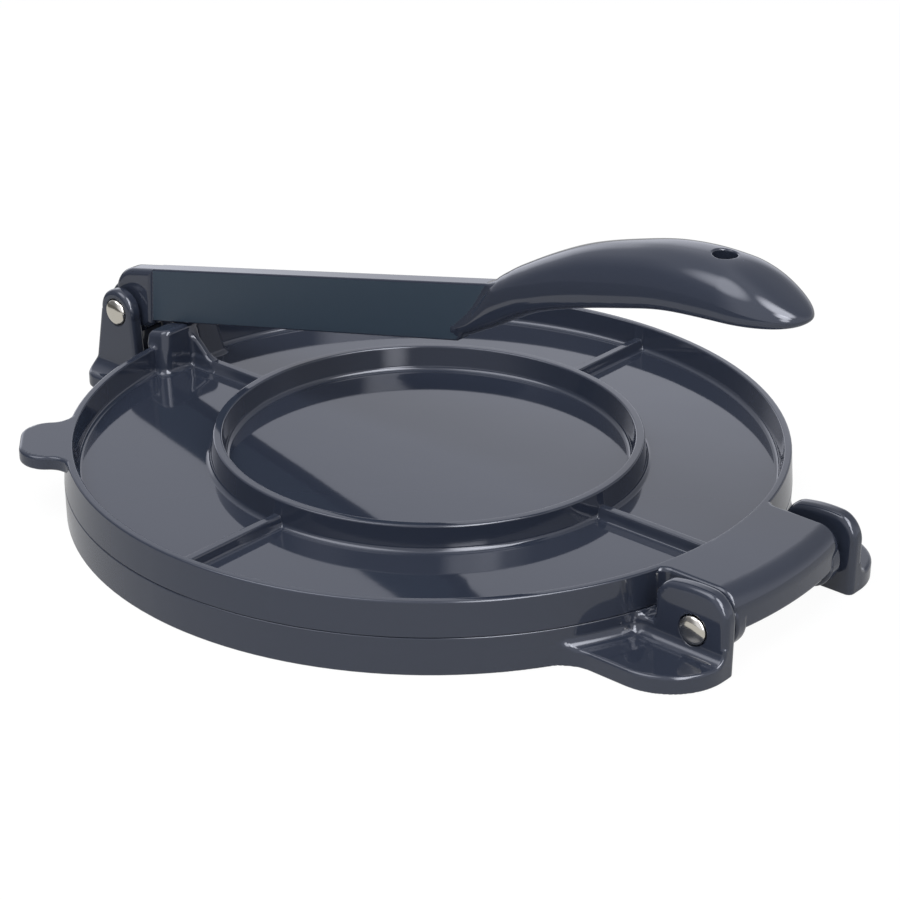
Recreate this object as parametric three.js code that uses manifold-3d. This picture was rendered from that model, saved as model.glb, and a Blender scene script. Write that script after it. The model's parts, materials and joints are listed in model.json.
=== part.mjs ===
// Tortilla press: two round cast aluminium plates hinged at one side, pressed
// together by a lever that pivots in a bracket at the other side.
// Millimetres, +Z up. The plates' axis is the Z axis and z = 0 is the table.
// +X points from the lever bracket to the hinge, and both pins lie along Y.
import * as THREE from 'three';
import { mergeVertices } from 'three/addons/utils/BufferGeometryUtils.js';
import Module from 'manifold-3d';

const wasm = await Module();
wasm.setup();

// Plates
const plateRadius = 101.5;
const plateDraft = 0.8;
const baseHeight = 10.6;
const baseWeb = 3.2;
const baseWall = 3.2;
const baseRibWidth = 3.4;
const seamGap = 0.3;
const topHeight = 9.7;
const topWeb = 2.2;
const rimWidth = 2.1;
const rimDraft = 0.7;
const ringRadius = 59.4;
const ringWidth = 2.6;
const ringDrop = 0.2;
const ribTopWidth = 2.4;
const ribFootWidth = 4.4;
const ribHeight = 3.2;
const floorFillet = 1.6;
const edgeChamfer = 0.6;
const weld = 0.4;

// Thumb tab on the top plate
const tabAngle = 226;
const tabWidth = 23.5;
const tabReach = 12.6;
const tabThickness = 3.0;
const tabCorner = 8.0;
const tabFillet = 4.0;

// Hinge: the base's two ears and feet carry the pin, the top plate's hood covers it
const hingeReach = 12.3;
const pinHeight = 11.1;
const pinRadius = 3.0;
const runningGap = 0.25;
const headRadius = 4.25;
const headDome = 1.9;
const headRecess = 0.8;
const recessMargin = 0.6;
const seatGap = 0.2;
const hoodHalfWidth = 23.8;
const hoodWall = 3.0;
const hoodReach = 21.8;
const hoodRound = 6.0;
const hoodLip = 10.0;
const lugThickness = 4.6;
const lugRadius = 8.2;
const earGap = 2.8;
const earThickness = 4.9;
const earTop = 22.0;
const earLength = 20.2;
const earRound = 5.0;
const footSpan = 49.0;
const footThickness = 4.6;
const footBlend = 8.6;
const footFillet = 3.0;

// Lever bracket on the base
const leverReach = 18.8;
const pivotHeight = 25.2;
const bracketRound = 7.2;
const bracketThickness = 4.6;
const bracketSpread = 4.8;
const bracketLean = 2.3;
const padHalfWidth = 15.0;
const padThickness = 5.2;
const padMargin = 0.6;
const padCorner = 7.0;

// Pressing boss on the top plate, under the lever
const bossFootWidth = 25.0;
const bossTopWidth = 18.0;
const bossDepth = 5.0;
const bossCorner = 2.5;
const bossGap = 0.35;
const gussetThickness = 3.0;
const gussetLength = 8.6;
const gussetDrop = 3.4;

// Lever, in its own frame: u along the bar from the pivot, v square to it
const leverTilt = 12.8;
const barUnder = -3.2;
const barTop = 13.4;
const barThickness = 5.5;
const barStart = 11.0;
const barEdge = 0.6;
const barInGrip = 17.3;
const barEndRound = 2.4;
const tongueThickness = 7.0;
const tongueGap = 0.4;
const hubRadius = 8.4;
const noseRadius = 9.5;
const noseShift = 3.5;
const noseEnd = 150;
const hubStart = 165;
const hubEnd = 300;
const gripStart = 134.0;
const gripLength = 115.2;
const gripHalfWidth = 12.4;
const gripCap = 19.0;
const gripArch = 13.5;
const gripRise = 12.2;
const gripDrop = 6.5;
const gripPower = 2.3;
const holePlace = 92.2;
const holeRadius = 3.65;
const holeCut = 60;
// The grip along its length, as shares: of the length, of the widest line's arch,
// of the rise to the crown, of the drop to the underside, of the half width
const gripStations = [
  [0.0, 0.16, 0.42, 1.0, 0.23],
  [0.14, 0.46, 0.55, 0.77, 0.44],
  [0.27, 0.74, 0.72, 0.65, 0.65],
  [0.41, 0.94, 0.85, 0.63, 0.81],
  [0.56, 1.0, 0.93, 0.75, 0.93],
  [0.72, 0.91, 1.0, 0.82, 1.0],
  [0.86, 0.71, 0.89, 0.77, 0.96],
  [1.0, 0.46, 0.44, 0.95, 0.94],
];

// Resolution of round surfaces
const plateSegments = 72;
const pinSegments = 32;
const roundSegments = 10;
const cornerSteps = 6;
const gripSections = 22;
const gripSides = 24;

// Places worked out from the sizes
const seamRadius = plateRadius + plateDraft;
const plateBottom = baseHeight + seamGap;
const floorHeight = plateBottom + topWeb;
const rimTop = plateBottom + topHeight;
const ringTop = rimTop - ringDrop;
const rimInner = plateRadius - rimWidth;
const pinX = plateRadius + hingeReach;
const hoodRadius = plateRadius + hoodReach;
const earInner = hoodHalfWidth + earGap;
const earOuter = earInner + earThickness;
const earEnd = pinX + earLength / 2;
const footCorner = footSpan - earOuter;
const pivotX = -(plateRadius + leverReach);
const bracketInner = tongueThickness / 2 + tongueGap;
const bracketOuter = bracketInner + bracketThickness;
const boreRadius = pinRadius + runningGap;
const tilt = THREE.MathUtils.degToRad(leverTilt);

const X = new THREE.Vector3(1, 0, 0);
const Y = new THREE.Vector3(0, 1, 0);
const Z = new THREE.Vector3(0, 0, 1);
const minusY = new THREE.Vector3(0, -1, 0);

// A manifold solid from a closed three.js geometry, turned so that its volume is positive
function solid(geometry) {
  const bare = geometry.clone();
  bare.deleteAttribute('normal');
  bare.deleteAttribute('uv');
  const merged = mergeVertices(bare, 1e-4);
  const index = merged.index.array;
  const position = merged.attributes.position;
  const corners = [new THREE.Vector3(), new THREE.Vector3(), new THREE.Vector3()];
  const triangles = [];
  let volume = 0;
  for (let i = 0; i < index.length; i += 3) {
    const [a, b, c] = index.subarray(i, i + 3);
    if (a === b || b === c || c === a) continue;
    triangles.push([a, b, c]);
    corners[0].fromBufferAttribute(position, a);
    corners[1].fromBufferAttribute(position, b);
    corners[2].fromBufferAttribute(position, c);
    volume += corners[0].dot(corners[1].cross(corners[2]));
  }
  const triVerts = new Uint32Array(triangles.flatMap(([a, b, c]) => (volume > 0 ? [a, b, c] : [a, c, b])));
  const mesh = new wasm.Mesh({ numProp: 3, vertProperties: new Float32Array(position.array), triVerts });
  return new wasm.Manifold(mesh);
}

function geometryOf(manifold) {
  const { vertProperties, triVerts } = manifold.getMesh();
  const geometry = new THREE.BufferGeometry();
  geometry.setAttribute('position', new THREE.BufferAttribute(new Float32Array(vertProperties), 3));
  geometry.setIndex(new THREE.BufferAttribute(new Uint32Array(triVerts), 1));
  geometry.computeVertexNormals();
  return geometry;
}

// A solid of revolution about Z from a profile of [radius, height] points
function turned(profile, segments = plateSegments) {
  const points = profile.map(([r, z]) => new THREE.Vector2(r, z));
  return solid(new THREE.LatheGeometry(points, segments).rotateX(Math.PI / 2));
}

// A flat shape pushed out along `out`, with its own x and y along the first two directions
function pushed(shape, depth, alongX, alongY, out, origin) {
  const geometry = new THREE.ExtrudeGeometry(shape, {
    depth,
    bevelEnabled: false,
    curveSegments: roundSegments,
  });
  geometry.applyMatrix4(new THREE.Matrix4().makeBasis(alongX, alongY, out).setPosition(origin));
  return solid(geometry);
}

// A plate standing in the XZ plane between two values of y
function upright(shape, yLow, yHigh) {
  return pushed(shape, yHigh - yLow, X, Z, minusY, new THREE.Vector3(0, yHigh, 0));
}

// A plate lying flat between two heights
function lying(shape, zLow, zHigh) {
  return pushed(shape, zHigh - zLow, X, Y, Z, new THREE.Vector3(0, 0, zLow));
}

function block(xs, ys, zs) {
  const geometry = new THREE.BoxGeometry(xs[1] - xs[0], ys[1] - ys[0], zs[1] - zs[0]);
  geometry.translate((xs[0] + xs[1]) / 2, (ys[0] + ys[1]) / 2, (zs[0] + zs[1]) / 2);
  return solid(geometry);
}

// A round bar along Y
function barrel(radius, yLow, yHigh, x, z) {
  const geometry = new THREE.CylinderGeometry(radius, radius, yHigh - yLow, pinSegments);
  geometry.translate(x, (yLow + yHigh) / 2, z);
  return solid(geometry);
}

function polygon(points) {
  return new THREE.Shape(points.map(([x, y]) => new THREE.Vector2(x, y)));
}

function addAll(first, ...others) {
  return others.reduce((sum, other) => sum.add(other), first);
}

function cutAll(first, ...others) {
  return others.reduce((rest, other) => rest.subtract(other), first);
}

// A recess in the outer face of an ear for a pin's head
function headRecesses(outer, x, z) {
  const radius = headRadius + recessMargin;
  return [
    barrel(radius, -outer - headDome, -outer + headRecess, x, z),
    barrel(radius, outer - headRecess, outer + headDome, x, z),
  ];
}

// One foot and ear of the hinge, on the side with the given sign of y
function hingeEar(side) {
  const onWall = (y) => Math.sqrt((seamRadius - weld) ** 2 - y ** 2);
  const innerX = Math.sqrt((seamRadius - baseWall) ** 2 - earInner ** 2);
  const startY = footSpan + footFillet;
  const foot = new THREE.Shape();
  foot.moveTo(onWall(startY), side * startY);
  foot.quadraticCurveTo(onWall(footSpan), side * footSpan, onWall(footSpan) + footBlend, side * footSpan);
  foot.lineTo(earEnd - footCorner, side * footSpan);
  const cornerY = side * (footSpan - footCorner);
  foot.absarc(earEnd - footCorner, cornerY, footCorner, (side * Math.PI) / 2, 0, side > 0);
  foot.lineTo(earEnd, side * earInner);
  foot.lineTo(innerX, side * earInner);
  const ear = new THREE.Shape();
  const earStart = earEnd - earLength;
  ear.moveTo(innerX, weld);
  ear.lineTo(earEnd, weld);
  ear.lineTo(earEnd, earTop - earRound);
  ear.absarc(earEnd - earRound, earTop - earRound, earRound, 0, Math.PI / 2, false);
  ear.lineTo(earStart + earRound / 2, earTop);
  ear.absarc(earStart + earRound / 2, earTop - earRound / 2, earRound / 2, Math.PI / 2, Math.PI, false);
  ear.lineTo(earStart, baseHeight - edgeChamfer);
  ear.lineTo(innerX, baseHeight - edgeChamfer);
  const [low, high] = side > 0 ? [earInner, earOuter] : [-earOuter, -earInner];
  return lying(foot, 0, footThickness).add(upright(ear, low, high));
}

// The pad and two tapered ears that carry the lever's pin
function leverBracket() {
  const farX = pivotX - bracketRound - bracketSpread - padMargin;
  const nearX = -(seamRadius - baseWall);
  const pad = new THREE.Shape();
  pad.moveTo(nearX, -padHalfWidth);
  pad.lineTo(nearX, padHalfWidth);
  pad.lineTo(farX + padCorner, padHalfWidth);
  pad.absarc(farX + padCorner, padHalfWidth - padCorner, padCorner, Math.PI / 2, Math.PI, false);
  pad.absarc(farX + padCorner, padCorner - padHalfWidth, padCorner, Math.PI, 1.5 * Math.PI, false);
  const ear = new THREE.Shape();
  ear.moveTo(pivotX - bracketRound - bracketSpread, weld);
  ear.lineTo(pivotX + bracketRound + bracketLean, weld);
  ear.lineTo(pivotX + bracketRound, pivotHeight - bracketRound / 2);
  ear.absarc(pivotX, pivotHeight, bracketRound, 0, Math.PI, false);
  return addAll(
    lying(pad, 0, padThickness),
    upright(ear, -bracketOuter, -bracketInner),
    upright(ear, bracketInner, bracketOuter),
  );
}

function basePlate() {
  const webUnder = baseHeight - baseWeb;
  const wallInner = seamRadius - baseWall;
  const disc = turned([
    [0, 0],
    [seamRadius - edgeChamfer, 0],
    [seamRadius, edgeChamfer],
    [seamRadius, baseHeight - edgeChamfer],
    [seamRadius - edgeChamfer, baseHeight],
    [0, baseHeight],
  ]);
  const hollow = turned([
    [0, -1],
    [wallInner, -1],
    [wallInner, webUnder - floorFillet],
    [wallInner - floorFillet, webUnder],
    [0, webUnder],
  ]);
  const ribEnd = wallInner + baseWall / 2;
  const half = baseRibWidth / 2;
  const casting = addAll(disc, hingeEar(-1), hingeEar(1), leverBracket());
  const ribbed = addAll(
    casting.subtract(hollow),
    block([-ribEnd, ribEnd], [-half, half], [0, webUnder + weld]),
    block([-half, half], [-ribEnd, ribEnd], [0, webUnder + weld]),
  );
  return cutAll(
    ribbed,
    barrel(boreRadius, -earOuter - 1, earOuter + 1, pinX, pinHeight),
    barrel(boreRadius, -bracketOuter - 1, bracketOuter + 1, pivotX, pivotHeight),
    ...headRecesses(earOuter, pinX, pinHeight),
    ...headRecesses(bracketOuter, pivotX, pivotHeight),
  );
}

// The dish of the top plate: web, rim and inner ring
function topDish() {
  const rimFoot = rimInner - rimDraft;
  const ringOut = ringRadius + ringWidth / 2;
  const ringIn = ringRadius - ringWidth / 2;
  return turned([
    [0, plateBottom],
    [seamRadius - edgeChamfer, plateBottom],
    [seamRadius, plateBottom + edgeChamfer],
    [plateRadius, rimTop],
    [rimInner, rimTop],
    [rimFoot, floorHeight + floorFillet],
    [rimFoot - floorFillet, floorHeight],
    [ringOut + rimDraft + floorFillet, floorHeight],
    [ringOut + rimDraft, floorHeight + floorFillet],
    [ringOut, ringTop],
    [ringIn, ringTop],
    [ringIn - rimDraft, floorHeight + floorFillet],
    [ringIn - rimDraft - floorFillet, floorHeight],
    [0, floorHeight],
  ]);
}

// A low rib from the ring to the rim, at an angle about Z
function topRib(angle) {
  const section = polygon([
    [-ribFootWidth / 2, -weld],
    [ribFootWidth / 2, -weld],
    [ribTopWidth / 2, ribHeight],
    [-ribTopWidth / 2, ribHeight],
  ]);
  const length = rimInner + rimWidth / 2 - ringRadius;
  const out = X.clone().applyAxisAngle(Z, angle);
  const across = Y.clone().applyAxisAngle(Z, angle);
  const origin = out.clone().multiplyScalar(ringRadius).setZ(floorHeight);
  return pushed(section, length, across, Z, out, origin);
}

function thumbTab() {
  const half = tabWidth / 2;
  const rootRadius = plateRadius - rimWidth / 2;
  const spread = Math.asin((half + tabFillet) / rootRadius);
  const onRim = (y) => Math.sqrt(plateRadius ** 2 - y ** 2);
  const sideX = onRim(half) + tabFillet;
  const tipX = plateRadius + tabReach;
  const shape = new THREE.Shape();
  shape.absarc(0, 0, rootRadius, -spread, spread, false);
  shape.lineTo(onRim(half + tabFillet), half + tabFillet);
  shape.quadraticCurveTo(onRim(half), half, sideX, half);
  shape.absarc(tipX - tabCorner, half - tabCorner, tabCorner, Math.PI / 2, 0, true);
  shape.absarc(tipX - tabCorner, tabCorner - half, tabCorner, 0, -Math.PI / 2, true);
  shape.lineTo(sideX, -half);
  shape.quadraticCurveTo(onRim(half), -half, onRim(half + tabFillet), -half - tabFillet);
  return lying(shape, rimTop - tabThickness, rimTop).rotate([0, 0, tabAngle]);
}

// The block that the lever presses on, with the gusset that ties it to the rib
function pressingBoss() {
  const outerX = -plateRadius;
  const innerX = outerX + bossDepth;
  const underBar = pivotHeight + (outerX - pivotX) * Math.tan(tilt) + barUnder / Math.cos(tilt);
  const top = underBar - bossGap;
  const half = bossTopWidth / 2;
  const face = new THREE.Shape();
  face.moveTo(-bossFootWidth / 2, floorHeight - weld);
  face.lineTo(bossFootWidth / 2, floorHeight - weld);
  face.lineTo(bossFootWidth / 2, (rimTop + floorHeight) / 2);
  face.lineTo(half + bossCorner / 2, top - bossCorner);
  face.quadraticCurveTo(half, top, half - bossCorner, top);
  face.lineTo(bossCorner - half, top);
  face.quadraticCurveTo(-half, top, -half - bossCorner / 2, top - bossCorner);
  face.lineTo(-bossFootWidth / 2, (rimTop + floorHeight) / 2);
  const slab = pushed(face, bossDepth, Y, Z, X, new THREE.Vector3(outerX, 0, 0));
  const inside = turned([
    [0, 0],
    [plateRadius, 0],
    [plateRadius, top + 1],
    [0, top + 1],
  ]);
  const gusset = polygon([
    [innerX - weld, floorHeight - weld],
    [innerX + gussetLength, floorHeight - weld],
    [innerX + gussetLength, floorHeight + ribHeight],
    [innerX, top - gussetDrop],
    [innerX - weld, top - gussetDrop],
  ]);
  return slab.intersect(inside).add(upright(gusset, -gussetThickness / 2, gussetThickness / 2));
}

// The hood over the hinge pin, with a lug round the pin at each end
function hingeHood() {
  const rootRadius = rimInner + rimWidth / 2;
  const corner = [];
  for (let i = 0; i <= cornerSteps; i++) {
    const angle = (i / cornerSteps) * (Math.PI / 2);
    const r = hoodRadius - hoodRound + hoodRound * Math.cos(angle);
    corner.push([r, rimTop - hoodRound + hoodRound * Math.sin(angle)]);
  }
  const wallInner = hoodRadius - hoodWall;
  const shell = turned([
    [rootRadius, rimTop - hoodWall],
    [wallInner - hoodRound / 2, rimTop - hoodWall],
    [wallInner, rimTop - hoodWall - hoodRound / 2],
    [wallInner, hoodLip],
    [hoodRadius, hoodLip],
    ...corner,
    [rootRadius, rimTop],
    [rootRadius, rimTop - hoodWall],
  ]);
  const window = block([rootRadius / 2, hoodRadius + 1], [-hoodHalfWidth, hoodHalfWidth], [0, rimTop + 1]);
  const lugInner = hoodHalfWidth - lugThickness;
  const lugs = [[-hoodHalfWidth, -lugInner], [lugInner, hoodHalfWidth]].map(([low, high]) => {
    const cheekX = Math.sqrt(rimInner ** 2 - lugInner ** 2);
    const cheek = block([cheekX, wallInner + weld], [low, high], [plateBottom, rimTop - hoodWall + weld]);
    return barrel(lugRadius, low, high, pinX, pinHeight).add(cheek);
  });
  return shell.intersect(window).add(lugs[0]).add(lugs[1]);
}

function topPlate() {
  const ribs = [0, 1, 2, 3].map((i) => topRib((i * Math.PI) / 2));
  const casting = addAll(topDish(), ...ribs, thumbTab(), pressingBoss(), hingeHood());
  return casting.subtract(barrel(boreRadius, -hoodHalfWidth - 1, hoodHalfWidth + 1, pinX, pinHeight));
}

// The flat end of the lever that turns between the bracket's ears
function leverTongue() {
  const noseV = barTop - noseRadius;
  const [noseTurn, hubFrom, hubTo] = [noseEnd, hubStart, hubEnd].map(THREE.MathUtils.degToRad);
  const shape = new THREE.Shape();
  shape.moveTo(barStart + weld, barUnder);
  shape.lineTo(barStart + weld, barTop);
  shape.absarc(noseShift, noseV, noseRadius, Math.PI / 2, noseTurn, false);
  shape.absarc(0, 0, hubRadius, hubFrom, hubTo, false);
  return upright(shape, -tongueThickness / 2, tongueThickness / 2);
}

function leverBar() {
  const end = gripStart + barInGrip;
  const shape = polygon([
    [barStart, barUnder + barEdge],
    [barStart + barEdge, barUnder],
    [gripStart, barUnder],
    [end, barUnder + (barTop - barUnder) / 2],
    [end - barEdge, barTop - barEndRound / 2],
    [end - barEndRound, barTop],
    [barStart + barEdge, barTop],
    [barStart, barTop - barEdge],
  ]);
  return upright(shape, -barThickness / 2, barThickness / 2);
}

// The grip: rounded sections strung along the bar, closed by a flat root and a round cap
function leverGrip() {
  const along = (column) => new THREE.SplineCurve(
    gripStations.map((row) => new THREE.Vector2(gripStart + gripLength * row[0], row[column])),
  );
  const [edgeLine, crownRise, underDrop, plan] = [1, 2, 3, 4].map(along);
  const capStart = gripStart + gripLength - gripCap;
  const rounded = (t) => Math.sign(t) * Math.abs(t) ** (2 / gripPower);
  const vertices = [];
  for (let i = 0; i < gripSections; i++) {
    const t = Math.sin((i / gripSections) * (Math.PI / 2));
    const edge = edgeLine.getPoint(t);
    const height = edge.y * gripArch;
    const intoCap = Math.max(0, (edge.x - capStart) / gripCap);
    const shrink = Math.sqrt(1 - intoCap ** 2);
    const half = plan.getPoint(t).y * gripHalfWidth * shrink;
    const rise = crownRise.getPoint(t).y * gripRise * shrink;
    const drop = underDrop.getPoint(t).y * gripDrop * shrink;
    for (let j = 0; j < gripSides; j++) {
      const angle = (j / gripSides) * 2 * Math.PI;
      const lift = rounded(Math.sin(angle));
      vertices.push(edge.x, half * rounded(Math.cos(angle)), height + lift * (lift > 0 ? rise : drop));
    }
  }
  const tip = vertices.length / 3;
  vertices.push(gripStart + gripLength, 0, gripStations[gripStations.length - 1][1] * gripArch);
  const root = tip + 1;
  vertices.push(gripStart, 0, gripStations[0][1] * gripArch);
  const index = [];
  for (let j = 0; j < gripSides; j++) {
    const next = (j + 1) % gripSides;
    index.push(root, next, j);
    for (let i = 0; i < gripSections - 1; i++) {
      const a = i * gripSides + j;
      const b = i * gripSides + next;
      index.push(a, b, a + gripSides, b, b + gripSides, a + gripSides);
    }
    const lastRing = (gripSections - 1) * gripSides;
    index.push(lastRing + j, lastRing + next, tip);
  }
  const geometry = new THREE.BufferGeometry();
  geometry.setAttribute('position', new THREE.BufferAttribute(new Float32Array(vertices), 3));
  geometry.setIndex(index);
  return solid(geometry);
}

function hangingHole() {
  const geometry = new THREE.CylinderGeometry(holeRadius, holeRadius, holeCut, pinSegments);
  geometry.rotateX(Math.PI / 2);
  geometry.rotateY(tilt);
  geometry.translate(gripStart + holePlace, 0, barTop);
  return solid(geometry);
}

function lever() {
  const casting = addAll(leverTongue(), leverBar(), leverGrip());
  return cutAll(casting, hangingHole(), barrel(boreRadius, -tongueThickness, tongueThickness, 0, 0));
}

// A plain pin along Y with a domed head at each end, seated in the recesses of two ears
function pin(outer) {
  const seat = outer - headRecess + seatGap;
  const dome = [];
  for (let i = 0; i <= cornerSteps; i++) {
    const angle = (i / cornerSteps) * (Math.PI / 2);
    dome.push([headRadius * Math.cos(angle), seat + headDome * Math.sin(angle)]);
  }
  const upper = [[pinRadius, seat], ...dome];
  const lower = [...upper].reverse().map(([r, y]) => [r, -y]);
  return turned([...lower, ...upper], pinSegments).rotate([90, 0, 0]);
}

const enamel = { color: 0x333847, roughness: 0.22, metalness: 0.0 };
const nickel = { color: 0xd9d8d2, roughness: 0.18, metalness: 1.0 };

function piece(name, manifold, look) {
  const mesh = new THREE.Mesh(geometryOf(manifold), new THREE.MeshStandardMaterial(look));
  mesh.name = name;
  return mesh;
}

const group = new THREE.Group();
group.add(piece('base_plate', basePlate(), enamel));
group.add(piece('top_plate', topPlate(), enamel));

const hingePin = piece('hinge_pin', pin(earOuter), nickel);
hingePin.position.set(pinX, 0, pinHeight);
group.add(hingePin);

const leverPin = piece('lever_pin', pin(bracketOuter), nickel);
leverPin.position.set(pivotX, 0, pivotHeight);
group.add(leverPin);

const leverGroup = new THREE.Group();
leverGroup.position.set(pivotX, 0, pivotHeight);
leverGroup.rotation.y = -tilt;
leverGroup.add(piece('lever', lever(), enamel));
group.add(leverGroup);

export default group;
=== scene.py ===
# %% [markdown]
# # A cast tortilla press
# The object is three aluminium castings under one glossy navy enamel, held together by two
# riveted pins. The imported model's plain solids could be bevelled with modifiers, but a fillet
# between a foot and a round wall isn't the bevel of one edge. So each solid stays as the frame
# of a finer skin, worked out with numpy, with the rounds that a mould gives.

import json
import math

import bpy
import numpy as np
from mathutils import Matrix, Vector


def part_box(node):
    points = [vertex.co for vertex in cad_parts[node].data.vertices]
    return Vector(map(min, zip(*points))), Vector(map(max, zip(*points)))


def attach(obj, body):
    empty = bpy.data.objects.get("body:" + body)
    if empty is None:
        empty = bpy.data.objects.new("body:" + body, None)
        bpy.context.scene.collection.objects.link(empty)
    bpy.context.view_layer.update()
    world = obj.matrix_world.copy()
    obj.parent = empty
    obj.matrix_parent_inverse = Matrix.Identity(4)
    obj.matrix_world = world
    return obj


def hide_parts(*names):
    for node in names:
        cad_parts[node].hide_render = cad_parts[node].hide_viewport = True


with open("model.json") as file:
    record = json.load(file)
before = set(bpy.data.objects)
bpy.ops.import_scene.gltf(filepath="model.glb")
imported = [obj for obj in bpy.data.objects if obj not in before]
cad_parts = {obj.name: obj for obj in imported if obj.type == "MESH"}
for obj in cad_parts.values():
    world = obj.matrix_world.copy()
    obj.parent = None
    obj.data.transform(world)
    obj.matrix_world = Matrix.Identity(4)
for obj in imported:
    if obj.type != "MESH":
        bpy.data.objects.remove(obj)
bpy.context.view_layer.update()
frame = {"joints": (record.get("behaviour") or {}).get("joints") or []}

# %% [markdown]
# The camera comes first, because every later choice is judged through it. It could be placed
# by eye. Here a pinhole camera was fitted to the plates' circles, so that shapes could be
# measured through it: an aim point, a direction, a distance and a focal length.

# %% Camera
MM = 0.001
AZIMUTH = 40.41
ELEVATION = 25.5
ROLL = 0.48
DISTANCE = 699.78
AIM_RIGHT = 6.04
AIM_UP = 12.01
SENSOR = 36.0
LENS = 98.12


def camera_axes(azimuth, elevation, roll):
    """Right, up and back of a camera that looks at the origin from an azimuth and an elevation."""
    a, e, r = (math.radians(v) for v in (azimuth, elevation, roll))
    back = np.array([math.sin(a) * math.cos(e), -math.cos(a) * math.cos(e), math.sin(e)])
    level = np.array([math.cos(a), math.sin(a), 0.0])
    above = np.cross(back, level)
    right = math.cos(r) * level + math.sin(r) * above
    return right, np.cross(back, right), back


def placed(thing, axes, place):
    """Turns an object so that its own x, y and z run along the axes, and puts it at the place."""
    matrix = np.eye(4)
    matrix[:3, :3] = np.stack(axes, axis=1)
    matrix[:3, 3] = place
    thing.matrix_world = matrix.T.tolist()


right, up, back = camera_axes(AZIMUTH, ELEVATION, ROLL)
eye = (DISTANCE * back + AIM_RIGHT * right + AIM_UP * up) * MM
camera_data = bpy.data.cameras.new("studio_camera")
camera_data.lens = LENS
camera_data.sensor_width = SENSOR
camera_data.clip_start = 0.01
camera = bpy.data.objects.new("studio_camera", camera_data)
bpy.context.collection.objects.link(camera)
placed(camera, [right, up, back], eye)
bpy.context.scene.camera = camera
print("Camera at", np.round(eye, 3))

# %% [markdown]
# All shapes are worked out in millimetres. The places of the pins and the plates' radius could
# be typed in again, but then the skins would stay behind when the solids change. So they are
# read from the frame, beside the sizes that several castings need.

# %% Sizes shared by the castings
joints = {joint["name"]: joint for joint in frame["joints"]}
hinge_x, _, hinge_z = (v / MM for v in joints["top_plate_hinge"]["pos_m"])
pivot_x, _, pivot_z = (v / MM for v in joints["lever_pivot"]["pos_m"])
seam_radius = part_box("base_plate")[1][1] / MM
rim_draft = 0.8
rim_radius = seam_radius - rim_draft
base_height = 10.7
seam_gap = 0.12
plate_bottom = base_height + seam_gap
floor_height = 13.1
rim_top = 20.6
ring_radius = 59.4
print("Pins at x", hinge_x, pivot_x, "and seam radius", round(seam_radius, 2))

# %% [markdown]
# A cast corner is never sharp. A bevel could round a mesh's edges, but it fails where several
# fillets meet. So the arms of the castings are fields: a value in space, in millimetres, that
# is negative in the metal. Two fields are joined or cut with a round of a known radius, where
# the value is the radius less the distance to the round's centre.


# %% Joining and cutting fields
def joined(a, b, radius):
    """Union with a fillet: max(r, min(a, b)) less the length of (r - a, r - b), kept above 0."""
    reach = np.hypot(np.maximum(radius - a, 0), np.maximum(radius - b, 0))
    return np.maximum(radius, np.minimum(a, b)) - reach


def common(a, b, radius):
    """Intersection with a rounded edge: the same formula with both signs turned."""
    return -joined(-a, -b, radius)


def slab(value, low, high):
    """The space between two parallel planes, low and high."""
    return np.abs(value - (low + high) / 2) - (high - low) / 2


def cut(solid, *planes):
    """The solid where every plane's value is negative too: the highest of all the values."""
    for plane in planes:
        solid = np.maximum(solid, plane)
    return solid


print("A 2 mm fillet covers the corner of two walls by", round(-float(joined(0, 0, 2)), 2), "mm")

# %% [markdown]
# A field becomes a mesh through a box grid. Blender's voxel remesh has even steps, which a
# glossy enamel shows. Here the steps are finer near the edges, and the field's slope is
# measured too, because it is the exact normal of the surface.


# %% Grid and slope of a field
def grid_steps(low, high, coarse, fine, near, reach=1.6):
    """Places from low to high, with fine steps within reach of the places in near."""
    places = [low]
    while places[-1] < high:
        close = any(abs(places[-1] - place) < reach for place in near)
        places.append(places[-1] + (fine if close else coarse))
    return np.array(places)


def slope(field, points, small=0.01):
    """The gradient by central differences, one column for each direction."""
    columns = []
    for axis in range(3):
        shift = np.zeros(3)
        shift[axis] = small
        ahead = field(*(points + shift).T)
        behind = field(*(points - shift).T)
        columns.append((ahead - behind) / (2 * small))
    return np.stack(columns, axis=1)


def unit(vectors):
    """The vectors at length 1."""
    return vectors / np.maximum(np.linalg.norm(vectors, axis=1, keepdims=True), 1e-12)


print("Steps from 0 to 4 that are finer near 2:", grid_steps(0, 4, 1.0, 0.5, (2,)))

# %% [markdown]
# Marching cubes would put the mesh's corners where the surface crosses the grid's edges, with
# many thin triangles. Surface nets put one corner in each cell, at the mean of its crossings,
# and a four-sided face round each crossed edge, which makes an even mesh.


# %% Surface nets
def crossed_edges(values, grid):
    """For each axis: where the sign changes, whether it turns positive there, and the places."""
    for axis in range(3):
        head, tail = [slice(None)] * 3, [slice(None)] * 3
        head[axis], tail[axis] = slice(None, -1), slice(1, None)
        v0, v1 = values[tuple(head)], values[tuple(tail)]
        p0, p1 = grid[tuple(head)], grid[tuple(tail)]
        hit = (v0 < 0) != (v1 < 0)
        share = np.where(hit, v0 / np.where(hit, v0 - v1, 1), 0)[..., None]
        yield axis, hit, v0 < 0, p0 + share * (p1 - p0)


def corner_sum(values, axis):
    """Sums the four edges along an axis that bound each cell."""
    p, q = [other for other in range(3) if other != axis]
    total = 0
    for dp in (slice(None, -1), slice(1, None)):
        for dq in (slice(None, -1), slice(1, None)):
            part = [slice(None)] * 4
            part[p], part[q] = dp, dq
            total = total + values[tuple(part)]
    return total


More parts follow.
